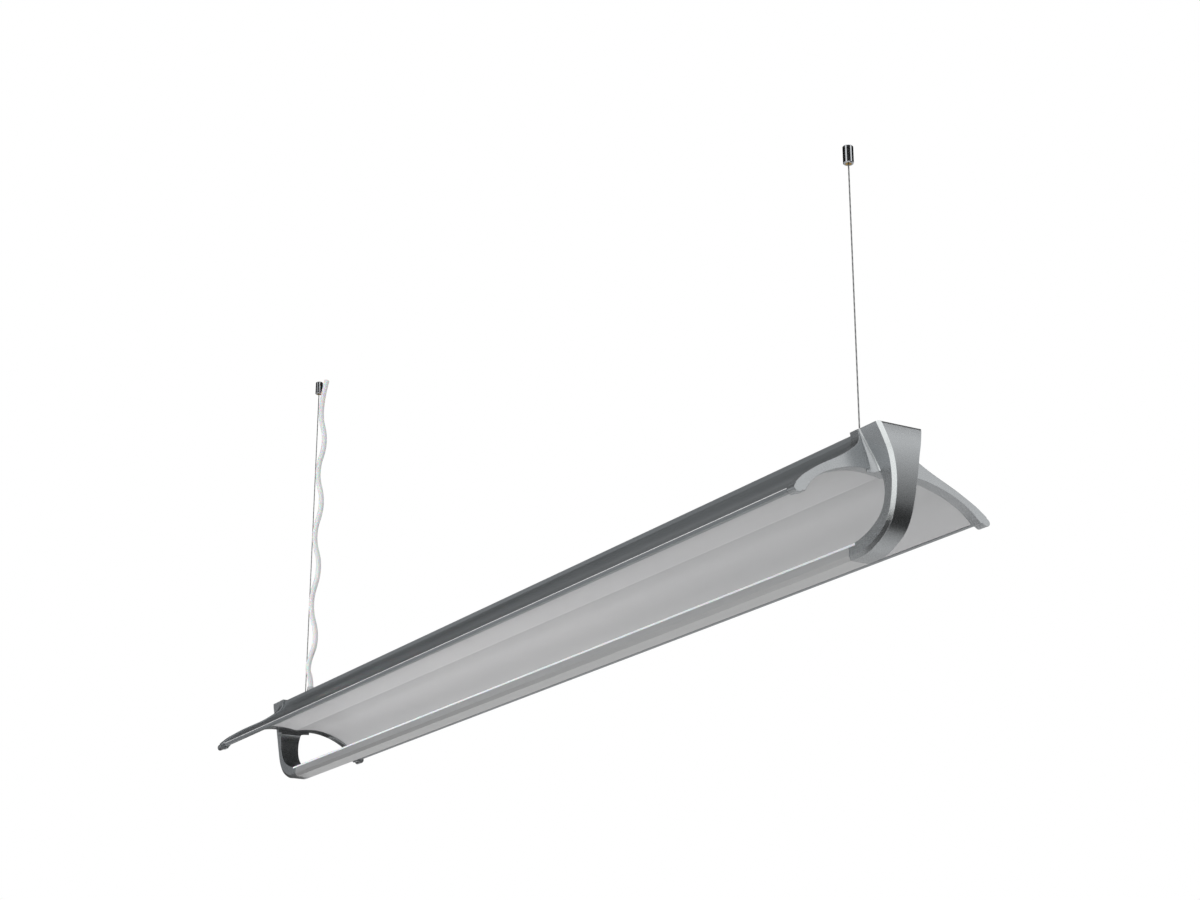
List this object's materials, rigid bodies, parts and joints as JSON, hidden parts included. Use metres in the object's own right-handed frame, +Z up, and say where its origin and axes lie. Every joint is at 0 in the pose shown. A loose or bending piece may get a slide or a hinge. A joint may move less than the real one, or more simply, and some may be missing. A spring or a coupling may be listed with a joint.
{
  "type": "suspended linear led light fixture",
  "caption": "Gull-wing pendant uplight: slim LED rail held under two curved reflectors by cast end arms, hung on steel wires with a supply cable.",
  "frame": {"origin": "top centre of the far ceiling gripper, at the mouth of its thread", "axes": "+Z up along the thread, +X along the lamp towards the near gripper, +Y across the lamp"},
  "size_m": [1.2566, 0.1912, 0.5182],
  "materials": {
    "silver_housing": "satin silver powder coat",
    "pale_reflector": "matt pale grey coat",
    "cast_silver": "satin silver paint on a casting",
    "rail_silver": "satin silver anodised",
    "opal_lens": "opal diffusing",
    "led_board": "white solder mask",
    "driver_case": "moulded",
    "terminal_plastic": "moulded",
    "spring_steel": "zinc plated",
    "screw_steel": "zinc plated",
    "polished_chrome": "polished",
    "jaw_brass": "machined",
    "wire_steel": "galvanised wire rope",
    "gland_plastic": "moulded",
    "clear_sheath": "milky translucent sheath"
  },
  "bodies": {
    "root": {"wing_housing": "silver_housing", "spine_cover": "silver_housing", "left_reflector": "pale_reflector", "right_reflector": "pale_reflector", "near_end_cap": "cast_silver", "far_end_cap": "cast_silver", "near_end_arm": "cast_silver", "far_end_arm": "cast_silver", "led_rail": "rail_silver", "opal_lens": "opal_lens", "led_board_1": "led_board", "led_board_2": "led_board", "led_board_3": "led_board", "led_board_4": "led_board", "led_driver": "driver_case", "driver_springs": "spring_steel", "terminal_block": "terminal_plastic", "near_cap_screws": "screw_steel", "far_cap_screws": "screw_steel", "near_arm_screws": "screw_steel", "far_arm_screws": "screw_steel", "near_rail_screw": "screw_steel", "far_rail_screw": "screw_steel", "near_anchor_bridge": "spring_steel", "far_anchor_bridge": "spring_steel", "near_anchor_nut": "screw_steel", "far_anchor_nut": "screw_steel", "near_wire_anchor": "polished_chrome", "far_wire_anchor": "polished_chrome", "near_wire_stop": "jaw_brass", "far_wire_stop": "jaw_brass", "near_suspension_wire": "wire_steel", "far_suspension_wire": "wire_steel", "near_ceiling_gripper": "polished_chrome", "far_ceiling_gripper": "polished_chrome", "near_gripper_jaw": "jaw_brass", "far_gripper_jaw": "jaw_brass", "cable_gland": "gland_plastic", "gland_nut": "gland_plastic", "cable_tail": "clear_sheath", "supply_cable": "clear_sheath"}
  },
  "joints": []
}
